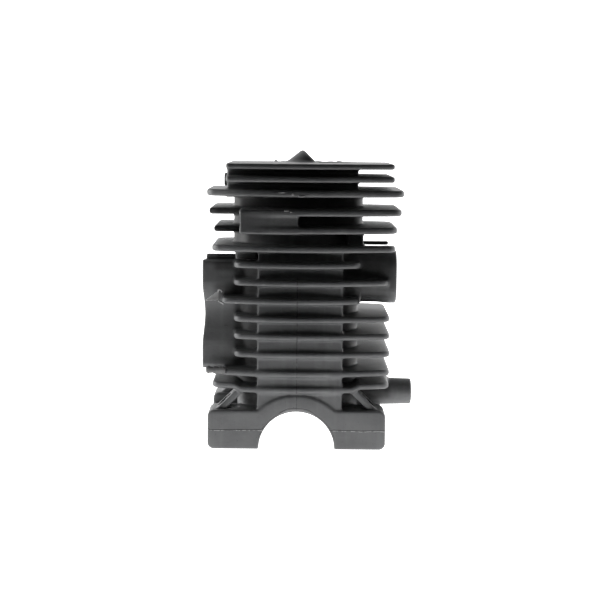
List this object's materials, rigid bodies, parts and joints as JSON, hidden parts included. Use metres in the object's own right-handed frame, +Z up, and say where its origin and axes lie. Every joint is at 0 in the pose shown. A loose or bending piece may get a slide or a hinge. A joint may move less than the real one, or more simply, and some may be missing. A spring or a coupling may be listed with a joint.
{
  "type": "cylinder head",
  "caption": "Air-cooled two-stroke cylinder with its finned head cast in one, half-moon crank seats in the base, and intake and exhaust blocks.",
  "frame": {"origin": "middle of the object's outline on the base plane; the base plane carries the crank axis", "axes": "+Z up along the bore, +X toward the exhaust block, Y along the crank axis"},
  "size_m": [0.0988, 0.064, 0.137],
  "materials": {
    "casting": "blasted die-cast aluminium, dark grey",
    "liner": "honed",
    "plug": "dull grey"
  },
  "bodies": {
    "root": {"cylinder_casting": "casting", "bore_liner": "liner", "sealing_plug": "plug"}
  },
  "joints": []
}
